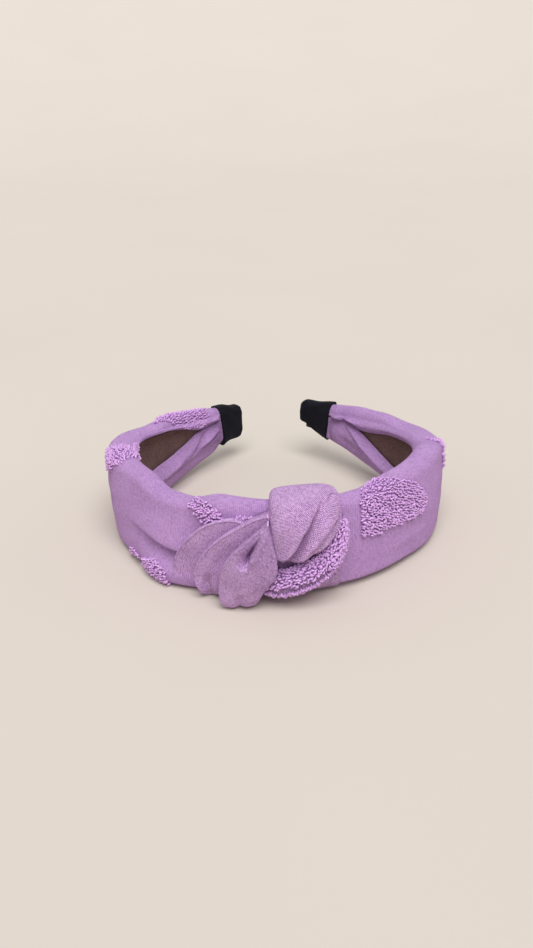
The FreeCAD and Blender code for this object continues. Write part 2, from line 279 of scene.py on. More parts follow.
def make_stage():
    """A floor that curves up gently all round, a pale sky and one wide soft sun."""
    outline = [(0.0, 0.0), (STAGE_FLAT, 0.0)]
    for i in range(1, STAGE_RINGS + 1):
        a = math.radians(STAGE_SLOPE) * i / STAGE_RINGS
        outline.append((STAGE_FLAT + STAGE_RIM * math.sin(a), STAGE_RIM * (1 - math.cos(a))))
    around = STAGE_AROUND
    verts, faces = [(0.0, 0.0, 0.0)], []
    for r, z in outline[1:]:
        verts += [(r * math.cos(2 * math.pi * j / around), r * math.sin(2 * math.pi * j / around), z)
                  for j in range(around)]
    for j in range(around):
        k = (j + 1) % around
        faces.append((0, 1 + j, 1 + k))
        for i in range(len(outline) - 2):
            a, b = 1 + i * around, 1 + (i + 1) * around
            faces.append((a + j, b + j, b + k, a + k))
    mesh = bpy.data.meshes.new("floor")
    mesh.from_pydata(verts, [], faces)
    mesh.polygons.foreach_set("use_smooth", [True] * len(mesh.polygons))
    floor = bpy.data.objects.new("floor", mesh)
    bpy.context.scene.collection.objects.link(floor)
    paper = Nodes("floor_paper")
    paper.shader.inputs["Roughness"].default_value = 0.95
    paper.shader.inputs["Specular IOR Level"].default_value = 0.0
    grain = paper.noise(paper.add("ShaderNodeTexCoord").outputs["Object"], PAPER_GRAIN)
    paper.colour(grain, ((0.3, PAPER_DARK), (0.7, PAPER_LIGHT)))
    mesh.materials.append(paper.material)
    world = bpy.data.worlds.new("studio")
    bpy.context.scene.world = world
    world.use_nodes = True
    background = world.node_tree.nodes["Background"]
    background.inputs["Color"].default_value = SKY_COLOUR
    background.inputs["Strength"].default_value = SKY
    data = bpy.data.lights.new("key", "SUN")
    data.energy = SUN
    data.angle = math.radians(SUN_SPREAD)
    key = bpy.data.objects.new("key", data)
    bpy.context.scene.collection.objects.link(key)
    key.rotation_mode = "QUATERNION"
    key.rotation_quaternion = (-Vector(SUN_FROM)).to_track_quat("-Z", "Y")
    bpy.context.scene.view_settings.view_transform = "Standard"


# ---- materials -----------------------------------------------

# Noise scales are per metre, the knit's columns and rows are in millimetres, and bump depths are in metres.
SHEEN_ROUGHNESS, CLOTH_SPECULAR = 0.45, 0.15
WANDER, FUZZ, PATCHES = 260, 1100, 70  # the jersey's wandering columns, its fuzz and its soft patches
STITCH_SLANT = 1.3  # how far the two legs of a stitch lean
YARN, YARN_BUMP, YARN_DEPTH = 1500, 5200, 0.00012
CLOTH_UV = "cloth"


class Nodes:
    """Short ways to add nodes to one material."""

    def __init__(self, name):
        self.material = bpy.data.materials.new(name)
        self.material.use_nodes = True
        self.tree = self.material.node_tree
        self.shader = self.tree.nodes["Principled BSDF"]

    def add(self, kind, **values):
        node = self.tree.nodes.new(kind)
        for key, value in values.items():
            setattr(node, key, value)
        return node

    def link(self, a, b):
        self.tree.links.new(a, b)

    def colour(self, value, stops):
        self.link(self.ramp(value, stops), self.shader.inputs["Base Color"])

    def math(self, operation, a, b=None):
        node = self.add("ShaderNodeMath", operation=operation)
        for i, value in enumerate((a, b)):
            if value is None:
                continue
            if isinstance(value, (int, float)):
                node.inputs[i].default_value = value
            else:
                self.link(value, node.inputs[i])
        return node.outputs[0]

    def noise(self, vector, scale, detail=2.0):
        node = self.add("ShaderNodeTexNoise")
        node.inputs["Scale"].default_value = scale
        node.inputs["Detail"].default_value = detail
        self.link(vector, node.inputs["Vector"])
        return node.outputs["Fac"]

    def ramp(self, value, stops):
        node = self.add("ShaderNodeValToRGB")
        while len(node.color_ramp.elements) < len(stops):
            node.color_ramp.elements.new(0.5)
        for element, (position, colour) in zip(node.color_ramp.elements, stops):
            element.position = position
            element.color = (*colour, 1)
        self.link(value, node.inputs["Fac"])
        return node.outputs["Color"]

    def bump(self, height, distance, strength=1.0):
        node = self.add("ShaderNodeBump")
        node.inputs["Distance"].default_value = distance
        node.inputs["Strength"].default_value = strength
        self.link(height, node.inputs["Height"])
        self.link(node.outputs["Normal"], self.shader.inputs["Normal"])

    def fabric(self, roughness, sheen, tint):
        self.shader.inputs["Roughness"].default_value = roughness
        self.shader.inputs["Sheen Weight"].default_value = sheen
        self.shader.inputs["Sheen Roughness"].default_value = SHEEN_ROUGHNESS
        self.shader.inputs["Sheen Tint"].default_value = (*tint, 1)
        self.shader.inputs["Specular IOR Level"].default_value = CLOTH_SPECULAR


def knit(name, dark, light, wale=0.85, course=0.75, depth=0.0004):
    """Jersey: columns of small V stitches, laid along the UV map, whose unit is a millimetre."""
    n = Nodes(name)
    uv = n.add("ShaderNodeUVMap", uv_map=CLOTH_UV).outputs["UV"]
    apart = n.add("ShaderNodeSeparateXYZ")
    n.link(uv, apart.inputs[0])
    point = n.add("ShaderNodeTexCoord").outputs["Object"]
    wander = n.math("MULTIPLY", n.noise(point, WANDER), 0.5)
    across = n.math("ADD", n.math("DIVIDE", apart.outputs["Y"], wale), wander)
    from_middle = n.math("ABSOLUTE", n.math("SUBTRACT", n.math("FRACT", across), 0.5))
    slant = n.math("MULTIPLY", from_middle, STITCH_SLANT)
    along = n.math("ADD", n.math("DIVIDE", apart.outputs["X"], course), slant)
    wave = n.math("SINE", n.math("MULTIPLY", along, 2 * math.pi))
    stitch = n.math("ADD", n.math("MULTIPLY", wave, 0.5), 0.5)
    column = n.math("SINE", n.math("MULTIPLY", n.math("MULTIPLY", from_middle, 2.0), math.pi))
    height = n.math("MULTIPLY", column, n.math("ADD", n.math("MULTIPLY", stitch, 0.75), 0.25))
    fuzz = n.noise(point, FUZZ, 3)
    patches = n.noise(point, PATCHES, 3)
    soft = n.math("ADD", n.math("MULTIPLY", patches, 0.18), n.math("MULTIPLY", fuzz, 0.62))
    # Painted shade: the colour darkens in the valleys between stitches, where the stitch height is low. The
    # fuzz and the patches add random tone on top.
    shade = n.math("ADD", n.math("MULTIPLY", height, 0.45), soft)
    n.colour(shade, ((0.38, dark), (0.74, light)))
    n.bump(n.math("ADD", height, n.math("MULTIPLY", fuzz, 0.9)), depth)
    n.fabric(0.9, 0.12, (0.86, 0.66, 0.95))
    return n.material


def pile(name, dark, light):
    """Terry yarn: each loop is a mesh, so this only varies its colour and roughens it."""
    n = Nodes(name)
    point = n.add("ShaderNodeTexCoord").outputs["Object"]
    n.colour(n.noise(point, YARN, 3), ((0.3, dark), (0.7, light)))
    n.bump(n.noise(point, YARN_BUMP), YARN_DEPTH)
    n.fabric(0.92, 0.15, (0.9, 0.7, 0.98))
    return n.material


def grained(name, dark, light, grain, depth, roughness, sheen, tint):
    """Any other material: fine grain over broad patches, with a bump a little finer than the grain."""
    n = Nodes(name)
    point = n.add("ShaderNodeTexCoord").outputs["Object"]
    fine = n.math("MULTIPLY", n.noise(point, grain, 4), 0.6)
    broad = n.math("MULTIPLY", n.noise(point, grain / 18), 0.4)
    n.colour(n.math("ADD", fine, broad), ((0.35, dark), (0.68, light)))
    n.bump(n.noise(point, grain * 1.4, 3), depth)
    n.fabric(roughness, sheen, tint)
    return n.material


JERSEY = knit("jersey", (0.43, 0.225, 0.53), (0.80, 0.49, 0.93))
JERSEY_KNOT = knit("jersey_knot", (0.345, 0.17, 0.425), (0.93, 0.60, 1.0), 1.05, 0.95, 0.0005)
TERRY = pile("terry", (0.475, 0.24, 0.575), (0.87, 0.565, 0.94))
SUEDE = grained(
    "suede", (0.095, 0.052, 0.048), (0.215, 0.125, 0.115),
    grain=1400, depth=0.0001, roughness=0.95, sheen=0.25, tint=(0.7, 0.5, 0.5))
VELVET = grained(
    "velvet", (0.003, 0.003, 0.006), (0.008, 0.008, 0.014),
    grain=2400, depth=0.0001, roughness=0.8, sheen=0.05, tint=(0.4, 0.4, 0.6))
FOAM = grained(
    "foam", (0.62, 0.61, 0.56), (0.80, 0.79, 0.74),
    grain=900, depth=0.0003, roughness=0.95, sheen=0.1, tint=(1, 1, 1))
THREAD = grained(
    "thread", (0.34, 0.18, 0.38), (0.52, 0.30, 0.57),
    grain=3000, depth=0.0001, roughness=0.7, sheen=0.3, tint=(1, 0.9, 1))
PLASTIC = grained(
    "plastic", (0.02, 0.02, 0.021), (0.035, 0.035, 0.037),
    grain=1800, depth=0.00002, roughness=0.38, sheen=0.0, tint=(1, 1, 1))


# ---- mesh helpers --------------------------------------------


def above_floor(p):
    """Cloth that would sink into the floor lies on it."""
    return Vector((p[0], p[1], max(p[2], REST_HEIGHT)))


def solid(name, verts, faces, material, uv=()):
    """A smooth closed mesh, with its faces turned outward."""
    mesh = bpy.data.meshes.new(name)
    mesh.from_pydata([tuple(above_floor(p)) for p in verts], [], faces)
    if uv:
        mesh.uv_layers.new(name=CLOTH_UV).data.foreach_set("uv", uv)
    mesh.materials.append(material)
    mesh.polygons.foreach_set("use_smooth", [True] * len(mesh.polygons))
    mesh.update()
    piece = bpy.data.objects.new(name, mesh)
    bpy.context.scene.collection.objects.link(piece)
    b = bmesh.new()
    b.from_mesh(mesh)
    bmesh.ops.recalc_face_normals(b, faces=b.faces)
    b.to_mesh(mesh)
    b.free()
    return piece


def grid_piece(name, rings, uvs, material, grain=0.0):
    """A closed tube of quads through equal rings of points, with a UV map in mm turned by grain."""
    count, around = len(rings), len(rings[0])
    verts = [p for ring in rings for p in ring]
    faces, corners = [], []
    for i in range(count - 1):
        (near, v0), (far, v1) = uvs[i], uvs[i + 1]
        for j in range(around):
            k = (j + 1) % around
            faces.append((i * around + j, (i + 1) * around + j, (i + 1) * around + k, i * around + k))
            corners += [(v0, near[j]), (v1, far[j]), (v1, far[k or j]), (v0, near[k or j])]
    for i, order in ((0, 1), (count - 1, -1)):
        centre = len(verts)
        verts.append(sum((Vector(p) for p in rings[i]), Vector()) / around)
        for j in range(around):
            faces.append((i * around + j, i * around + (j + 1) % around, centre)[::order])
            corners += [(0, 0)] * 3
    c, d = math.cos(math.radians(grain)), math.sin(math.radians(grain))
    uv = [w for u, v in corners for w in (u * c - v * d, u * d + v * c)]
    return solid(name, verts, faces, material, uv)


def lengths(ring):
    """Running length round a ring of points, in millimetres."""
    out = [0.0]
    for a, b in zip(ring, ring[1:]):
        out.append(out[-1] + (Vector(b) - Vector(a)).length / MM)
    return out


def tube(name, side, stations, section, material):
    """A closed tube along one side of the band, through its section (side, s) at each station."""
    rings, uvs = [], []
    for s in stations:
        ring = [place(side * s, n, z) for n, z in section(side, s)]
        rings.append(ring)
        uvs.append((lengths(ring), s))
    return grid_piece(f"{name}_{SIDES[side]}", rings, uvs, material)


def bend_with(piece, side):
    """Bakes the piece's transform into its mesh; the places at the two ends of the bend are worked out but
    not used.
    """
    place(side * BLEND_FROM, 0, 0)
    place(side * BLEND_TO, 0, 0)
    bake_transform(piece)


# ---- the cover -----------------------------------------------


def hems(side, s):
    table = HEMS[side]
    upper = rest_curve([(a, b) for a, b, _ in table], s)
    lower = rest_curve([(a, c) for a, _, c in table], s)
    return upper, lower


def edge_trim(side, s):
    """How much lower the upper edge starts than the plain band's, and how much less it curves, in mm."""
    front, back = stretch(s, *FRONT_TRIM[side]), stretch(s, *SHOULDER_TRIM[side])
    if side > 0:
        back -= stretch(s, *RIGHT_END_RISE)
    return TRIM_SHARE * front, (1 - TRIM_SHARE) * front + back


def hang(side, s):
    """How much lower the lower edge is, in mm."""
    if side < 0:
        return stretch(s, *LEFT_HANG)
    return -stretch(s, *RIGHT_LIFT) - stretch(s, *RIGHT_END_LIFT)


def spread(side, s, z):
    """How much further out the outer face is, in mm."""
    out = stretch(s, *SHOULDER_FULL[side])
    if side < 0:
        out += LEFT_FOOT * bump(s, LEFT_FOOT_AT, LEFT_FOOT_REACH) * smooth(*LEFT_FOOT_DEPTHS, -z)
    return out


def wide_at(side, s, z, angle):
    """The spread at an angle round an edge, in mm: in full on the outer face, none on the head side."""
    return spread(side, s, z) * smooth(-0.5, 1, math.cos(angle))


def in_sleeve(s):
    return smooth(SLEEVE_START - 5, SLEEVE_START - 1, s)


def folds(side, s, z, outer):
    """How far the cloth stands out of its smooth shape, in mm."""
    out = relief((OUTER_FOLDS if outer else INNER_FOLDS)[side], s, z)
    out += RIPPLE * math.sin(s * 0.11 + z * 0.22) * math.sin(z * 0.3 + s * 0.03)
    if outer:
        out = max(out, -INWARD_LIMIT)
    return out * (1 - in_sleeve(s))


def face_out(side, s, z, f):
    """How far the outer face stands out past the plain band's at z, a share f of the way down it, in mm."""
    ease = math.sin(math.pi * f) ** BULGE_POWER if 0 < f < 1 else 0
    return BULGE * math.sin(math.pi * f) + spread(side, s, z) + folds(side, s, z, True) * ease


# The cover's section: steps down the face, round each edge, along each hem's strip, and on its tucked edge.
FACE_STEPS, EDGE_STEPS, HEM_STEPS, TUCK_STEPS = 56, 13, 26, 4
TUCK_DEPTH, TUCK_IN, TUCK_RISE = 0.95, 0.35, 0.6  # where the tucked edge starts, and its steps in and away
HEM_ROLL, HEM_ROLL_LESS = 0.9, 0.5  # radius of a hem's rolled edge, and how much less it is in the sleeve
HEM_LONG, HEM_OUT = 1.3, 0.3  # the roll is this much deeper than round, and stands this share of it proud
HEM_MARGIN = 0.4
HEAD_SWELL = 0.9  # the strips swell this much towards the head, and twice that past the bends
HEAD_SWELL_GROWS = (90, 130)


def cover_ring(side, s):
    """The cover's closed section: the outside from the upper hem round to the lower, then the inside."""
    hidden = in_sleeve(s)
    t = rest_curve(HALF_THICK, s) - SQUEEZE * hidden
    flat = rest_curve(HALF_HEIGHT, s) - SQUEEZE * hidden - t
    trim, less = edge_trim(side, s)
    top = flat - trim
    upper, lower = hems(side, s)
    upper = min(upper, top - HEM_MARGIN)
    lower = max(min(lower, upper - 0.1), -flat + HEM_MARGIN)
    roll = HEM_ROLL - HEM_ROLL_LESS * hidden
    swell = HEAD_SWELL * (1 + smooth(*HEAD_SWELL_GROWS, s)) * (1 - hidden)
    half_turn = [math.pi * i / EDGE_STEPS for i in range(EDGE_STEPS + 1)]
    path = []

    def tuck(hem, away, order):
        for k in order:
            path.append((-t + TUCK_DEPTH + TUCK_IN * k, hem + away * TUCK_RISE * (k + 1)))

    def rolled(hem, away, angles):
        for a in angles:
            path.append((-t + roll * (1 + math.cos(a) * HEM_LONG),
                         hem + away * roll * (1 - abs(math.sin(a)))))

    def strip(start, end):
        for i in range(1, HEM_STEPS):
            f = i / HEM_STEPS
            z, arch = start + (end - start) * f, math.sin(math.pi * f)
            path.append((-t - roll * HEM_OUT - swell * arch - folds(side, s, z, False) * arch ** 0.5, z))

    def edge(angles, z, tall):
        for a in angles:
            path.append((t * math.cos(a) + wide_at(side, s, z, a), z + tall * math.sin(a)))

    tuck(upper, 1, reversed(range(TUCK_STEPS)))
    rolled(upper, 1, [(math.pi + a) / 2 for a in half_turn])
    strip(upper + roll, top)
    edge([math.pi - a for a in half_turn], top, t - less)
    for i in range(1, FACE_STEPS):
        f = i / FACE_STEPS
        z = top - (top + flat) * f
        path.append((t + face_out(side, s, z, f), z))
    edge([-a for a in half_turn], -flat, t + hang(side, s))
    strip(-flat, lower - roll)
    rolled(lower, -1, [math.pi + a / 2 for a in half_turn])
    tuck(lower, -1, range(TUCK_STEPS))

    points = np.array(path)
    ahead = np.gradient(points, axis=0)
    ahead /= np.maximum(np.linalg.norm(ahead, axis=1), 1e-6)[:, None]
    aside = np.stack([-ahead[:, 1], ahead[:, 0]], 1) * CLOTH
    middle = len(points) // 2
    inner = points - aside
    if np.linalg.norm(inner[middle]) > np.linalg.norm(points[middle]):
        inner = points + aside
    return list(map(tuple, points)) + list(map(tuple, inner[::-1]))


def make_cover(side):
    name = SIDES[side]
    stations = [COVER_START[side], *np.arange(2 * COVER_STEP, COVER_END, COVER_STEP), COVER_END]
    piece = tube("cover", side, stations, cover_ring, JERSEY)
    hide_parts(f"cover_front_{name}", f"cover_arm_{name}")
    bend_with(piece, side)


PAD_EDGE_STEPS, PAD_FACE_STEPS = 9, 24
PAD_CHANNEL_SIDE, PAD_CHANNEL_LIMIT = 0.25, 0.3  # room beside the hoop, and the least foam beside that


def pad_ring(side, s):
    """The foam under the cover: it follows the cloth, with a channel on the head side for the hoop."""
    t, h = rest_curve(HALF_THICK, s), rest_curve(HALF_HEIGHT, s)
    flat = h - t
    thin, back = t - PAD_UNDER, t - PAD_INSET
    channel = min(rest_curve(HOOP_HALF, s) + PAD_CHANNEL_SIDE, flat - PAD_CHANNEL_LIMIT)
    trim, less = edge_trim(side, s)
    top = flat - trim
    angles = [math.pi * i / PAD_EDGE_STEPS for i in range(1, PAD_EDGE_STEPS)]
    ring = [(PAD_CHANNEL, channel), (-back, channel), (-back, top)]
    for a in angles:
        ring.append((wide_at(side, s, top, math.pi - a) - thin * math.cos(a),
                     top + (thin - less) * math.sin(a)))
    for i in range(PAD_FACE_STEPS + 1):
        f = i / PAD_FACE_STEPS
        z = top - (top + flat) * f
        ring.append((thin + face_out(side, s, z, f), z))
    for a in angles:
        ring.append((thin * math.cos(a) + wide_at(side, s, -flat, a),
                     -flat - (thin + hang(side, s)) * math.sin(a)))
    return ring + [(-back, -flat), (-back, -channel), (PAD_CHANNEL, -channel)]


def make_padding(side):
    name = SIDES[side]
    piece = tube("padding", side, np.arange(PAD_START, PAD_END, PAD_STEP), pad_ring, FOAM)
    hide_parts(f"foam_pad_arm_{name}", *(["foam_pad_crown"] if side > 0 else []))
    bend_with(piece, side)


def lining_ring(side, s):
    """A brown strip on the head side: flat on the hoop, up over the pad beside it, and under the hems."""
    upper, lower = hems(side, s)
    hoop = rest_curve(HOOP_HALF, s)
    step = max(0.0, rest_curve(HALF_THICK, s) - PAD_INSET + LINING_OVER_PAD + LINING_BACK)
    reach = min(max(hoop, upper, -lower) + LINING_UNDER_HEM, rest_curve(HALF_HEIGHT, s) - LINING_INSET)
    back = []
    for v in range(LINING_ACROSS + 1):
        z = reach * (2 * v / LINING_ACROSS - 1)
        back.append((LINING_BACK - step * smooth(hoop - LINING_EASE, hoop + LINING_EASE, abs(z)), z))
    return [(n - LINING_THICK, z) for n, z in back] + back[::-1]


def make_lining(side):
    name = SIDES[side]
    stations = np.arange(LINING_START, LINING_END, LINING_STEP)
    piece = tube("lining", side, stations, lining_ring, SUEDE)
    for s in stations:
        front = lining_ring(side, s)[:LINING_ACROSS + 1]
        lengths([place(side * s, n, z) for n, z in front])[-1]
    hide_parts(f"lining_arm_{name}", *(["lining_crown"] if side > 0 else []))
    bend_with(piece, side)


SLEEVE_RINGS, SLEEVE_AROUND = 40, 72
SLEEVE_CLOSES = 0.80  # share of the length where the end starts to close
SLEEVE_FLAT_END, SLEEVE_FLATNESS = 0.14, 0.42  # how thin and how low the closed end is, as shares
SLEEVE_ROOM = (0.9, 0.7)  # it stands this far off the band's faces and edges
SLEEVE_SQUARE = 0.62  # below 1 its section is squarer than an ellipse
SLEEVE_WAVE, SLEEVE_CREASES = 0.3, (0.28, 0.15)


def make_sleeve(side):
    """A ribbon sock with a slanted mouth, whose edges rise or drop towards the tip."""
    name = SIDES[side]
    rings, uvs = [], []
    length = SLEEVE_TIP[side] - SLEEVE_START
    for i in range(SLEEVE_RINGS):
        f = i / (SLEEVE_RINGS - 1)
        past = max(0.0, (f - SLEEVE_CLOSES) / (1 - SLEEVE_CLOSES))
        shrink = math.sqrt(max(0.0, 1 - 0.97 * past ** 2.6))
        mouth = SLEEVE_LIP * bump(f, 0.0, 0.04)
        ring = []
        for j in range(SLEEVE_AROUND):
            a = 2 * math.pi * j / SLEEVE_AROUND
            c = math.copysign(abs(math.cos(a)) ** SLEEVE_SQUARE, math.cos(a))
            d = math.copysign(abs(math.sin(a)) ** SLEEVE_SQUARE, math.sin(a))
            s = SLEEVE_START + length * f - SLEEVE_SLANT * d * (1 - f)
            t = rest_curve(HALF_THICK, s) + SLEEVE_ROOM[0]
            h = rest_curve(HALF_HEIGHT, s) + SLEEVE_ROOM[1]
            h *= SLEEVE_FLATNESS + (1 - SLEEVE_FLATNESS) * shrink
            at_mouth, at_tip = (SLEEVE_FOOT if d < 0 else SLEEVE_TOP)[side]
            rise = at_mouth + (at_tip - at_mouth) * smooth(0.0, 0.9, f)
            rise += SLEEVE_WAVE * math.sin(f * 8 + side)
            crease = SLEEVE_CREASES[0] * math.sin(3 * a + 6 * f + side) * (1 - past)
            crease += SLEEVE_CREASES[1] * math.sin(7 * a - 9 * f)
            n = c * (t * max(SLEEVE_FLAT_END, shrink) + mouth) + crease * abs(c)
            ring.append(place(side * s, n, d * (h + mouth) + rise * abs(d)))
        rings.append(ring)
        uvs.append((lengths(ring), SLEEVE_START + length * f))
    piece = grid_piece(f"sleeve_{name}", rings, uvs, VELVET)
    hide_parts(f"end_sleeve_{name}")
    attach(piece, f"arm_{name}")


# ---- the knot ------------------------------------------------


def knot_piece(name, rings, uvs, node, grain=0.0):
    piece = grid_piece(name, rings, uvs, JERSEY_KNOT, grain)
    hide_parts(node)
    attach(piece, "crown")


PLEAT_BACK, PLEAT_BACK_STEPS, PLEAT_BACK_END = 4.4, 10, 0.98  # how far out a pleat's flat back lies
PLEAT_LEAST = 0.2  # its least thickness
PLEAT_RINGS, PLEAT_ROLL, PLEAT_ROLL_REACH = 110, 1.0, 0.045
PLEAT_CROWDING = 1.4  # above 1, points crowd towards the ridge
PLEAT_HEM, PLEAT_HEM_AT, PLEAT_HEM_REACH = 0.35, 0.05, 0.03


def petal(name, puff, grain, across, ridge, inner):
    """A fold of cloth: a thin rolled ridge, a face that runs down under the next fold, and a flat back."""
    rings, uvs = [], []
    run = 0.0
    for i in range(PLEAT_RINGS):
        t = i / (PLEAT_RINGS - 1)
        a, b = catmull(ridge, t), catmull(inner, t)
        grow = math.sin(math.pi * min(1.0, 0.06 + t * 0.94)) ** 0.5
        ring, plain = [], []
        base = min(PLEAT_BACK, a[2] - 1.0, b[2] - 0.6)
        for j in range(across):
            f = (j / (across - 1)) ** PLEAT_CROWDING
            q = a + (b - a) * f
            rise = puff * grow * math.sin(math.pi * min(1, f * 0.92 + 0.02)) ** 0.8
            hem = PLEAT_HEM * bump(f, PLEAT_HEM_AT, PLEAT_HEM_REACH)
            fold = relief(PLEAT_FOLDS[name], q[0], q[1])
            n = q[2] + rise + hem + fold - PLEAT_ROLL * (1 - smooth(0, PLEAT_ROLL_REACH, f)) ** 2
            ring.append(place(q[0], max(n, base + PLEAT_LEAST), q[1]))
            plain.append(place(q[0], max(n - fold, base + PLEAT_LEAST), q[1]))
        for j in range(PLEAT_BACK_STEPS):
            f = 1 - j / (PLEAT_BACK_STEPS - 1)
            q = a + (b - a) * (UNDERCUT + (PLEAT_BACK_END - UNDERCUT) * f)
            ring.append(place(q[0], base, q[1]))
            plain.append(ring[-1])
        if rings:
            run += (plain[across // 2] - middle).length / MM
        middle = plain[across // 2]
        rings.append(ring)
        uvs.append((lengths(plain), run))
    knot_piece(f"pleat_{name}", rings, uvs, f"knot_pleat_{name}", grain)


UNDERCUT = 0.16  # the back of a pleat starts this share of its width in from the ridge

# As OUTER_FOLDS, but s is signed.
PLEAT_FOLDS = {
    "rear": (
        (-0.7, 2.2, 2.2, ((-30, 2, 0.0), (-33, -6, 1.0), (-33, -16, 0.6))),
        (0.5, 1.6, 1.6, ((-36, -14, 0.6), (-35.5, -20, 1.0))),
    ),
    "middle": (
        (-1.9, 1.5, 1.5, ((-22.4, -8, 0.0), (-24.4, -14, 1.0), (-24.4, -20, 1.0))),
        (-0.8, 2.4, 2.4, ((-12, 8, 0.0), (-18, -1, 1.0), (-21, -10, 0.5))),
        (0.8, 1.4, 1.4, ((-27, -13, 0.4), (-26.4, -19, 1.0))),
    ),
    "front": (
        (-4.4, 0.6, 2.3, ((-2.8, 15.9, 0.15), (-4.4, 11.2, 0.35), (-6.3, 6.9, 0.65), (-7.9, 3.1, 1.0),
                          (-8.5, 0.4, 1.0), (-8.8, -1.6, 0.0))),
        (-3.2, 0.5, 0.7, ((-3.9, 11.6, 0.1), (-6.0, 7.2, 0.6), (-7.8, 3.1, 1.0), (-8.5, 0.6, 1.0),
                          (-8.9, -0.9, 0.0))),
        (1.2, 1.6, 0.5, ((-2.0, 15.5, 0.3), (-3.4, 11.2, 0.8), (-5.2, 6.9, 1.0), (-6.7, 3.1, 1.0),
                         (-7.3, -0.8, 0.0))),
        (-1.7, 1.3, 1.3, ((-10.4, -13, 0.0), (-11.6, -17, 1.0), (-11.8, -22, 1.0))),
        (-0.9, 2.0, 2.0, ((-14, -4, 0.0), (-14.5, -11, 1.0), (-13.6, -17, 0.3))),
        (0.7, 1.0, 1.0, ((-0.4, 9.9, 0.6), (0.6, 2, 1.0), (0.2, -4.1, 1.0), (-2.2, -10, 0.5))),
    ),
}

# Each pleat: its name, puff, grain in degrees and steps across, then its ridge and its inner line, as
# (s, z, n) from the knot's eye to the lower edge of the band.
PLEATS = (
    ("rear", 0.5, 90, 64, (
        (-8.0, 12.6, 7.4), (-11.5, 15.0, 8.4), (-16.5, 15.9, 9.2), (-24.6, 12.1, 9.4),
        (-31.1, 5.6, 9.4), (-36.2, -1.4, 9.2), (-39.3, -8.7, 8.9), (-40.2, -15.0, 8.2),
        (-39.0, -19.4, 6.4), (-37.6, -22.0, 2.6),
    ), (
        (-7.2, 12.0, 7.0), (-8.5, 11.4, 7.2), (-11, 9.6, 7.4), (-15.5, 6.0, 7.4), (-19.5, 0.0, 7.2),
        (-22.5, -5.0, 7.0), (-25, -10.0, 6.8), (-26.6, -14.8, 6.6), (-28.0, -19.6, 5.6),
        (-29.0, -22.0, 2.4),
    )),
    ("middle", 0.7, 84, 64, (
        (-1.7, 19.0, 10.4), (-5.8, 18.0, 11.2), (-10.6, 15.2, 12.0), (-16.4, 10.9, 12.4),
        (-21.2, 5.8, 12.4), (-25.4, -0.5, 12.2), (-28.3, -6.9, 11.8), (-29.3, -11.8, 11.2),
        (-28.2, -17.0, 10.6), (-26.0, -21.4, 8.0), (-25.0, -22.2, 3.0),
    ), (
        (-0.6, 17.2, 9.5), (-2.6, 14.0, 9.6), (-5.6, 10.0, 9.8), (-8.6, 5.5, 9.8), (-11.6, 0.5, 9.6),
        (-13.8, -4.5, 9.4), (-15.4, -9.5, 9.2), (-16.4, -13.5, 8.8), (-17.6, -17.4, 8.2),
        (-18.8, -20.6, 6.2), (-19.4, -22.2, 2.6),
    )),
    ("front", 2.6, 38, 130, (
        (-1.6, 17.4, 13.2), (-4.9, 13.6, 14.4), (-10.5, 8.0, 15.4), (-14.6, 2.7, 15.6),
        (-17.3, -3.7, 15.2), (-18.6, -9.4, 14.6), (-18.9, -15.2, 14.6), (-18.0, -20.0, 14.4),
        (-16.4, -22.2, 12.0), (-14.6, -22.3, 4.0),
    ), (
        (-1.2, 17.0, 12.8), (-0.4, 12.6, 14.0), (0.6, 7.0, 14.8), (1.3, 1.9, 15.0), (1.1, -4.1, 14.8),
        (-0.8, -8.3, 14.6), (-3.2, -12.6, 14.2), (-5.2, -17.4, 13.4), (-6.8, -21.4, 10.6),
        (-7.6, -22.3, 4.0),
    )),
)


WRAP_SLICES = (
    # s, front, foot, top, low
    (-1.3, 9.0, 6.5, 23.2, 6.6),
    (-0.9, 12.0, 6.0, 24.6, 7.6),
    (-0.1, 14.6, 4.6, 25.8, 8.2),
    (1.6, 16.4, 3.4, 26.6, 8.4),
    (4.5, 17.6, 2.0, 27.1, 8.5),
    (8.5, 18.0, 2.2, 27.3, 8.5),
    (13.0, 17.6, 4.6, 27.3, 8.2),
    (17.2, 16.2, 6.4, 27.1, 7.6),
    (20.6, 14.2, 9.4, 26.5, 7.2),
    (23.4, 12.0, 12.0, 25.4, 7.0),
    (24.8, 9.6, 13.4, 23.8, 6.8),
    (25.3, 7.6, 14.4, 22.2, 6.4),
)
WRAP_BACK, WRAP_BOTTOM = -7.1, -21.4
WRAP_FOLDS = (
    # the edge of the fat front lobe, with the dark hollow under its curled tip
    (-6.6, 0.6, 2.4, ((1.0, 1.4, 0.9), (3.4, 1.7, 1.0), (5.6, 3.4, 1.0), (8.2, 8.4, 1.0),
                      (10.2, 14.0, 0.85), (13.4, 19.7, 0.55), (17.6, 25.6, 0.0))),
    (1.5, 2.8, 0.5, ((1.2, 2.6, 0.6), (3.4, 3.0, 1.0), (5.0, 4.8, 1.0), (7.4, 8.8, 1.0),
                     (9.4, 14.0, 0.9), (12.4, 19.7, 0.6), (16.6, 25.6, 0.0))),
    # the second lobe and the shallow fold to its right
    (1.1, 1.9, 1.9, ((8.6, 1.8, 0.4), (13.0, 8.0, 1.0), (17.4, 15.0, 1.0), (21.0, 21.5, 0.0))),
    (-2.0, 1.1, 1.6, ((12.1, 4.6, 0.7), (18.7, 12.3, 1.0), (22.0, 15.6, 0.8), (24.0, 19.0, 0.0))),
    (-1.0, 1.2, 1.5, ((-0.6, 14.0, 0.6), (1.4, 20.0, 1.0), (4.4, 27.0, 0.5), (6, 30, 0.0))),
    (-0.9, 1.4, 1.4, ((5.4, 11, 0.0), (7.4, 17, 1.0), (10.4, 23, 0.6), (12.4, 27, 0.0))),
    # a small opening at the top right
    (-3.4, 0.9, 0.9, ((20.0, 24.0, 0.8), (21.4, 24.8, 1.0), (22.4, 24.2, 0.8))),
)


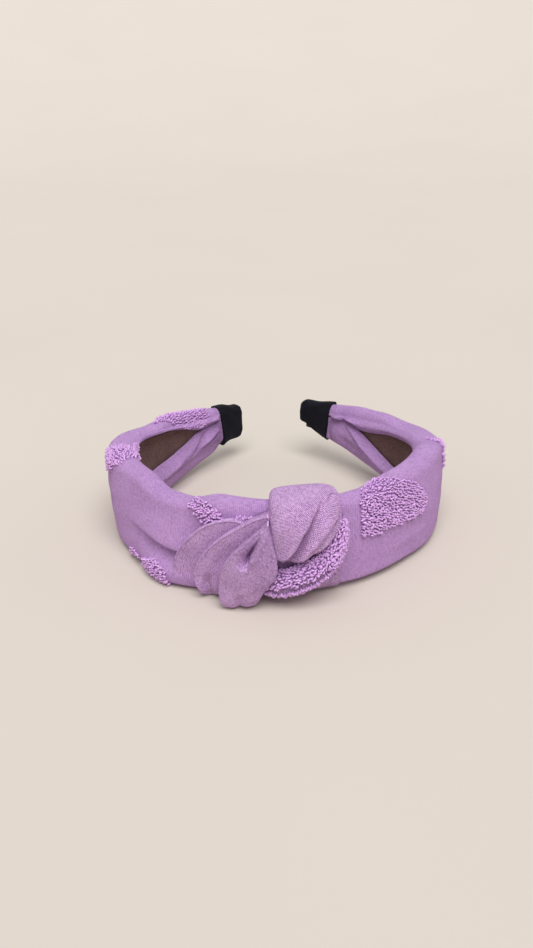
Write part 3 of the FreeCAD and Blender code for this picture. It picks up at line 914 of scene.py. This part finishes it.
def wrap_outline(front, foot, top, low):
    back, bottom = WRAP_BACK, WRAP_BOTTOM
    return [
        (back, (top + bottom) / 2),
        (back + 0.3, top - 9),
        (-3.0, top - 2.2),
        (2.4, top),
        (front * 0.66, top - 2.2),
        (front * 0.94, top - 8.5),
        (front, (top + foot) / 2 - 2.5),
        (front * 0.93, foot),
        (low + 2.0, foot - 3.2),
        (low, foot - 6.5),
        (low, bottom + 7),
        (1.5, bottom),
        (-4.0, bottom + 0.8),
        (back + 0.3, bottom + 8),
    ]


def closed_curve(points, count):
    last = len(points)
    out = []
    for k in range(count):
        u = k / count * last
        i = int(u)
        out.append(between([np.array(points[(i + d) % last], float) for d in (-1, 0, 1, 2)], u - i))
    return out


WRAP_RINGS, WRAP_AROUND, WRAP_GRAIN = 110, 210, 48
WRAP_FOLDS_FROM, WRAP_FOLDS_FULL = 5.5, 10.5  # the folds set in between these distances out


def make_wrap():
    rings, uvs = [], []
    for i in range(WRAP_RINGS):
        row = catmull(WRAP_SLICES, i / (WRAP_RINGS - 1))
        s = row[0]
        ring = []
        for n, z in closed_curve(wrap_outline(*row[1:]), WRAP_AROUND):
            lift = relief(WRAP_FOLDS, s, z) * smooth(WRAP_FOLDS_FROM, WRAP_FOLDS_FULL, n)
            ring.append(place(s, n + lift, z))
        rings.append(ring)
        uvs.append((lengths(ring), s))
    knot_piece("wrap", rings, uvs, "knot_wrap", WRAP_GRAIN)


TURN_PATH = (
    # s, z, n, half width across, height of the fold
    (23.8, 14.0, 8.0, 1.4, 2.2),
    (23.0, 7.2, 9.4, 2.8, 3.6),
    (20.2, 0.2, 10.4, 3.4, 4.6),
    (15.0, -5.4, 10.8, 4.2, 4.9),
    (8.4, -9.2, 10.5, 5.0, 4.9),
    (1.4, -11.7, 9.4, 4.6, 4.2),
    (-3.5, -12.6, 7.4, 3.2, 3.2),
)

TURN_NEAR = 0.02  # its direction is taken between points this much before and after
TURN_RINGS, TURN_AROUND, TURN_LENGTH = 90, 80, 48


def turn_frame(t):
    """The terry turn at t: its centre, the directions across, out and ahead, and its two half sizes."""
    s, z, n, across, out = catmull(TURN_PATH, t)
    before, after = catmull(TURN_PATH, t - TURN_NEAR), catmull(TURN_PATH, t + TURN_NEAR)
    ahead = (place(after[0], after[2], after[1]) - place(before[0], before[2], before[1])).normalized()
    centre = place(s, n, z)
    side = ahead.cross((place(s, n + 4, z) - centre).normalized()).normalized()
    return centre, side, side.cross(ahead).normalized(), ahead, across * MM, out * MM


# A sunken strip of bare cloth runs along the lower left of the terry turn, at this angle round it.
STRIP_ANGLE, STRIP_HALF, STRIP_DEPTH = 1.85, 0.26, 1.6
STRIP_FROM, STRIP_FULL = 0.34, 0.5


def bare(t, angle):
    """1 in the middle of the bare strip, and 0 away from it."""
    return bump(angle, STRIP_ANGLE, STRIP_HALF) * smooth(STRIP_FROM, STRIP_FULL, t)


def make_turn():
    rings, uvs = [], []
    for i in range(TURN_RINGS):
        t = i / (TURN_RINGS - 1)
        centre, side, up, _, across, out = turn_frame(t)
        ring = []
        for j in range(TURN_AROUND):
            a = 2 * math.pi * j / TURN_AROUND
            skin = Vector(centre + side * math.cos(a) * across + up * math.sin(a) * out)
            ring.append(skin - (skin - centre).normalized() * STRIP_DEPTH * bare(t, a) * MM)
        rings.append(ring)
        uvs.append((lengths(ring), t * TURN_LENGTH))
    knot_piece("terry_turn", rings, uvs, "knot_terry_turn")


# ---- terry loops ---------------------------------------------

LOOP_SIDES, LOOP_POINTS = 5, 5
LOOP_SUNK = 0.15  # mm that a loop's feet lie under the cloth
LOOP_TURN, LOOP_LEAN, LOOP_STRAY = 0.8, 0.4, 0.25  # the most that a loop turns, leans and strays
# As shares of its nominal height: its height, its half width and its yarn's radius, which also varies.
LOOP_TALL, LOOP_WIDE, LOOP_THICK, LOOP_THICK_VARIES = (0.75, 1.25), (0.28, 0.46), 0.28, (0.85, 1.15)


def loop_mesh(name, spots, seed):
    """Bent yarn loops at spots of (point, out, along, size), all in one mesh."""
    rng = random.Random(seed)
    verts, faces = [], []
    for point, out, along, size in spots:
        turn = rng.uniform(-LOOP_TURN, LOOP_TURN)
        cross = out.cross(along).normalized()
        direction = (along * math.cos(turn) + cross * math.sin(turn)).normalized()
        lean = cross * rng.uniform(-LOOP_LEAN, LOOP_LEAN) + along * rng.uniform(-LOOP_LEAN, LOOP_LEAN)
        tall = size * rng.uniform(*LOOP_TALL)
        wide = size * rng.uniform(*LOOP_WIDE)
        thick = LOOP_THICK * size * rng.uniform(*LOOP_THICK_VARIES)
        start = len(verts)
        for i in range(LOOP_POINTS):
            a = math.pi * i / (LOOP_POINTS - 1)
            middle = (point + direction * (-math.cos(a) * wide) + (out + lean) * (math.sin(a) * tall)
                      - out * LOOP_SUNK * MM)
            tangent = (direction * math.sin(a) * wide + (out + lean) * math.cos(a) * tall).normalized()
            normal = tangent.cross(direction.cross(out).normalized()).normalized()
            binormal = tangent.cross(normal).normalized()
            for j in range(LOOP_SIDES):
                b = 2 * math.pi * j / LOOP_SIDES
                verts.append(middle + (normal * math.cos(b) + binormal * math.sin(b)) * thick)
        for i in range(LOOP_POINTS - 1):
            for j in range(LOOP_SIDES):
                k = (j + 1) % LOOP_SIDES
                a0 = start + i * LOOP_SIDES
                faces.append((a0 + j, a0 + k, a0 + LOOP_SIDES + k, a0 + LOOP_SIDES + j))
        faces.append(tuple(start + j for j in reversed(range(LOOP_SIDES))))
        top = start + (LOOP_POINTS - 1) * LOOP_SIDES
        faces.append(tuple(top + j for j in range(LOOP_SIDES)))
    piece = solid(name, verts, faces, TERRY)
    return piece


def inside(outline, s, z):
    """True if (s, z) lies inside the closed outline."""
    hit = False
    for (s0, z0), (s1, z1) in zip(outline, outline[1:] + outline[:1]):
        if (z0 > z) != (z1 > z) and s < (s1 - s0) * (z - z0) / (z1 - z0) + s0:
            hit = not hit
    return hit


def surface_point(side, s, reach):
    """Point, outward and along directions on the cover.

    reach runs from the middle of the outer face over an edge and on across the head side.
    """
    t = rest_curve(HALF_THICK, s)
    flat = rest_curve(HALF_HEIGHT, s) - t
    trim, less = edge_trim(side, s)
    top = flat - trim
    edge, tall = (top, t - less) if reach > 0 else (flat, t + hang(side, s))
    past = (abs(reach) - edge) / t
    if past <= 0:
        n = t + face_out(side, s, reach, (reach + flat) / (top + flat))
        on, off = (n, reach), (n + 1, reach)
    elif past <= math.pi:
        wide = wide_at(side, s, math.copysign(edge, reach), past)
        on, off = [(wide + (t + more) * math.cos(past),
                    math.copysign(edge + (tall + more) * math.sin(past), reach)) for more in (0, 1)]
    else:
        z = math.copysign(2 * edge + math.pi * t - abs(reach), reach)
        upper, lower = hems(side, s)
        f = (abs(z) - abs(upper if reach > 0 else lower)) / max(1.0, flat - abs(upper))
        arch = math.sin(math.pi * min(1.0, max(0.0, f)))
        n = -t - HEM_ROLL * HEM_OUT - HEAD_SWELL * arch * (1 + smooth(*HEAD_SWELL_GROWS, s))
        on, off = (n, z), (n - 1, z)
    point = place(side * s, *on)
    along = place(side * (s + 1), 5, reach) - place(side * s, 5, reach)
    return point, (place(side * s, *off) - point).normalized(), along.normalized()


# Raised leaves on each half: loop height, then the outline as (distance from the crown, reach).
LEAVES = {
    1: (
        (1.25, ((41.5, 26), (45.2, 26.5), (49, 23.6), (54.2, 20.6), (62.5, 16.1), (69.2, 9.3),
                (70.8, 4.1), (67, 0.3), (58, 0.6), (46, 1.4), (39.2, 0.8), (34, 2.4), (34.2, 9.6),
                (33.6, 17.1), (36.5, 22.3))),
        (1.2, ((99.5, 26), (101.5, 21), (104, 14), (106, 6), (101, 4), (95.2, 9), (94.6, 16.4),
               (96, 22))),
        (1.0, ((128, -4), (140, 1), (152, -3), (148, -9), (134, -12), (124, -9))),
    ),
    -1: (
        (1.45, ((33.4, 17.9), (32, 22.4), (29.5, 23), (26.5, 20.4), (21.4, 18.4), (17.6, 13.9),
                (21.2, 12.3), (25.8, 11.2), (29, 13.2), (30.8, 16.0))),
        (1.45, ((17.0, 14.6), (13, 16.6), (9.2, 16.2), (5.2, 16.2), (5.5, 13.2), (10.8, 12.8),
                (15, 11.4))),
        (1.2, ((92.5, 12.5), (96, 18.0), (98, 22.7), (97.5, 27.1), (92, 31), (82, 30.5), (76, 28.1),
               (74.2, 24.3), (75.2, 21.3), (82, 16.4), (89, 11.4))),
        (1.1, ((104, 30), (104, 35.5), (97, 37), (88, 35.5), (80, 32), (80, 29.5), (92, 30))),
        (1.1, ((131, 21), (136.8, 17.5), (149.5, 14.5), (163, 12.4), (169, 13.5), (166.5, 19),
               (160, 24.4), (148.8, 26.6), (142.8, 25.8), (137, 23))),
        (1.3, ((59.5, -19.6), (57.2, -15.5), (52.8, -12.0), (48.2, -11.2), (43, -14.5), (42, -20.5),
               (46.0, -25.0), (52, -25.4), (57.5, -23.4))),
        (1.2, ((71.8, -19.4), (70.8, -17.4), (67, -15.4), (62.6, -15.8), (61.4, -17.4), (64, -18.2),
               (67.6, -18.4), (69.8, -19.8))),
        (1.0, ((104, 1), (114, 7), (126, 5), (130, -2), (122, -8), (110, -8))),
    ),
}
LOOP_PITCH = 1.16
LEAF_TALL, LEAF_FALLS = 1.25, 0.5  # share of the loop height where a leaf starts, and its fall
TURN_ROWS, TURN_ROWS_FROM, TURN_ROWS_OVER, TURN_LOOP = 50, 0.02, 0.95, 1.5
BARE_ENOUGH = 0.45


def make_leaves(side):
    """Rows of loops inside each leaf, finer and flatter towards its upper far end."""
    rng = random.Random(11 + side)
    spots = []
    for tall, shape in LEAVES[side]:
        low_s, high_s = min(p[0] for p in shape), max(p[0] for p in shape)
        low_z, high_z = min(p[1] for p in shape), max(p[1] for p in shape)
        s = low_s
        row = 0
        while s < high_s:
            z = low_z + (0.5 * LOOP_PITCH if row % 2 else 0)
            while z < high_z:
                ss = s + rng.uniform(-LOOP_STRAY, LOOP_STRAY)
                zz = z + rng.uniform(-LOOP_STRAY, LOOP_STRAY)
                if inside(shape, ss, zz):
                    fade = ((ss - low_s) / (high_s - low_s) + (zz - low_z) / (high_z - low_z)) / 2
                    size = tall * (LEAF_TALL - LEAF_FALLS * fade) * MM
                    spots.append((*surface_point(side, ss, zz), size))
                z += LOOP_PITCH
            s += LOOP_PITCH
            row += 1
    piece = loop_mesh(f"terry_leaves_{SIDES[side]}", spots, 5 + side)
    bend_with(piece, side)


def make_turn_pile():
    """Loops over the front of the terry turn, but for its bare strip."""
    rng = random.Random(23)
    spots = []
    for i in range(TURN_ROWS):
        t = TURN_ROWS_FROM + TURN_ROWS_OVER * i / (TURN_ROWS - 1)
        centre, side, up, ahead, across, out = turn_frame(t)
        rows = max(5, int(round((across + out) / MM * 1.3)))
        for j in range(rows):
            a = 0.04 + (math.pi - 0.08) * (j + 0.5 * (i % 2)) / (rows - 0.5) + rng.uniform(-0.05, 0.05)
            point = centre + side * math.cos(a) * across + up * math.sin(a) * out
            if bare(t, a) > BARE_ENOUGH:
                continue
            away = (side * math.cos(a) / across + up * math.sin(a) / out).normalized()
            stray = ahead * rng.uniform(-LOOP_STRAY, LOOP_STRAY) * MM
            spots.append((point + stray, away, ahead, TURN_LOOP * MM))
    piece = loop_mesh("terry_turn_pile", spots, 31)
    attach(piece, "crown")


# ---- what stays of the frame ---------------------------------


def dress(prefix, material):
    for node, part in frame["nodes"].items():
        if node.startswith(prefix):
            for slot in part.material_slots:
                slot.material = material


make_camera()
make_stage()
for side in (-1, 1):
    make_cover(side)
    make_padding(side)
    make_lining(side)
    make_sleeve(side)
    make_leaves(side)
for pleat in PLEATS:
    petal(*pleat)
make_wrap()
make_turn()
make_turn_pile()
dress("hoop", PLASTIC)
dress("tacking", THREAD)
